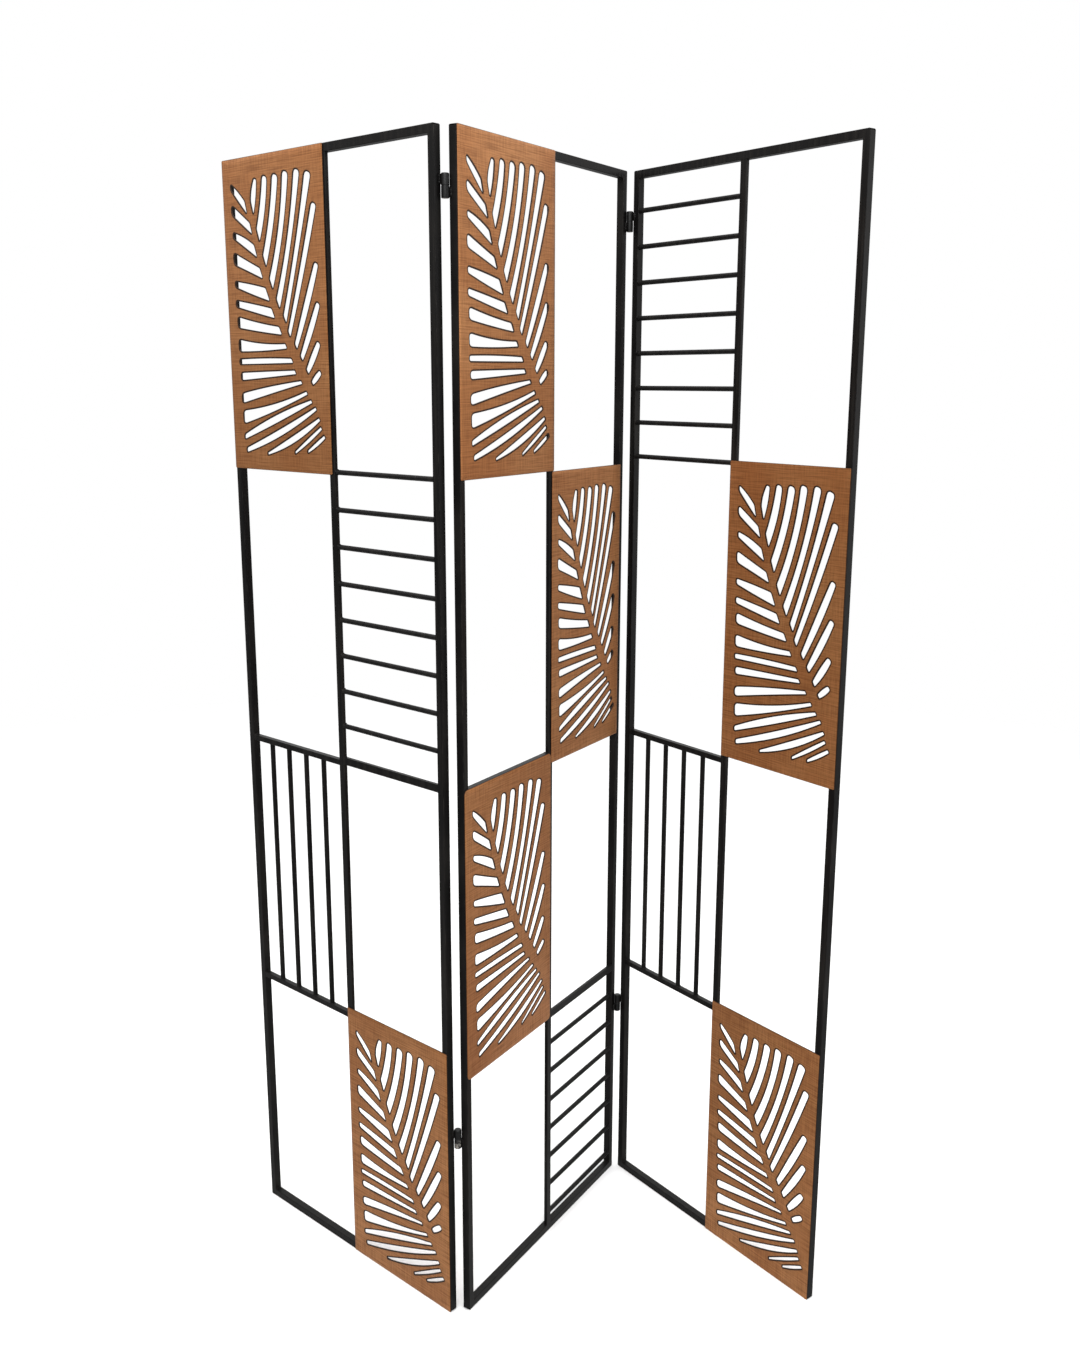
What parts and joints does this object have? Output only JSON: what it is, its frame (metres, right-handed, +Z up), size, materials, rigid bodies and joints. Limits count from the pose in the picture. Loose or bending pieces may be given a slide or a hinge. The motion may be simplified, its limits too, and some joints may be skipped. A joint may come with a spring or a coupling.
{
  "type": "folding screen",
  "caption": "Free-standing zig-zag folding screen of square steel tube with rungs, bars and pierced palm-frond plates.",
  "frame": {"origin": "middle of the footprint of the standing, zig-zag screen, on the floor", "axes": "+Z up, the palm plates face -Y, +X to the right seen from the front"},
  "size_m": [0.904, 0.4076, 1.78],
  "materials": {
    "frame": "satin black powder coat, worn lighter along the edges",
    "plate": "brushed copper-brown lacquer on sheet steel",
    "hinge": "black barrel hinge rubbed to bare steel"
  },
  "bodies": {
    "middle_panel": {"middle_bottom_rail": "frame", "middle_top_rail": "frame", "middle_stile_left": "frame", "middle_stile_right": "frame", "middle_post": "frame", "middle_thin_rail": "frame", "middle_transom": "frame", "middle_rung_1": "frame", "middle_rung_2": "frame", "middle_rung_3": "frame", "middle_rung_4": "frame", "middle_rung_5": "frame", "middle_rung_6": "frame", "middle_rung_7": "frame", "middle_palm_plate_top": "plate", "middle_palm_plate_right": "plate", "middle_palm_plate_left": "plate", "left_hinge_upper_pin": "hinge", "left_hinge_lower_pin": "hinge", "right_hinge_upper_pin": "hinge", "right_hinge_lower_pin": "hinge"},
    "left_panel": {"left_bottom_rail": "frame", "left_top_rail": "frame", "left_stile_left": "frame", "left_stile_right": "frame", "left_post": "frame", "left_quarter_rod": "frame", "left_rung_1": "frame", "left_rung_2": "frame", "left_rung_3": "frame", "left_rung_4": "frame", "left_rung_5": "frame", "left_rung_6": "frame", "left_rung_7": "frame", "left_transom": "frame", "left_grille": "frame", "left_palm_plate_top": "plate", "left_palm_plate_bottom": "plate", "left_hinge_upper_socket": "hinge", "left_hinge_lower_socket": "hinge"},
    "right_panel": {"right_bottom_rail": "frame", "right_top_rail": "frame", "right_stile_left": "frame", "right_stile_right": "frame", "right_post": "frame", "right_rung_1": "frame", "right_rung_2": "frame", "right_rung_3": "frame", "right_rung_4": "frame", "right_rung_5": "frame", "right_rung_6": "frame", "right_rung_7": "frame", "right_quarter_rod": "frame", "right_grille": "frame", "right_palm_plate_upper": "plate", "right_palm_plate_bottom": "plate", "right_hinge_upper_socket": "hinge", "right_hinge_lower_socket": "hinge"}
  },
  "joints": [
    {"name": "left_fold", "type": "hinge", "parent": "middle_panel", "child": "left_panel", "pos_m": [-0.11892, -0.17159, 0.305], "axis": [0, 0, 1], "range_deg": [-80, 100]},
    {"name": "right_fold", "type": "hinge", "parent": "middle_panel", "child": "right_panel", "pos_m": [0.18756, 0.19826, 0.335], "axis": [0, 0, 1], "range_deg": [-69.5, 110.5]}
  ]
}
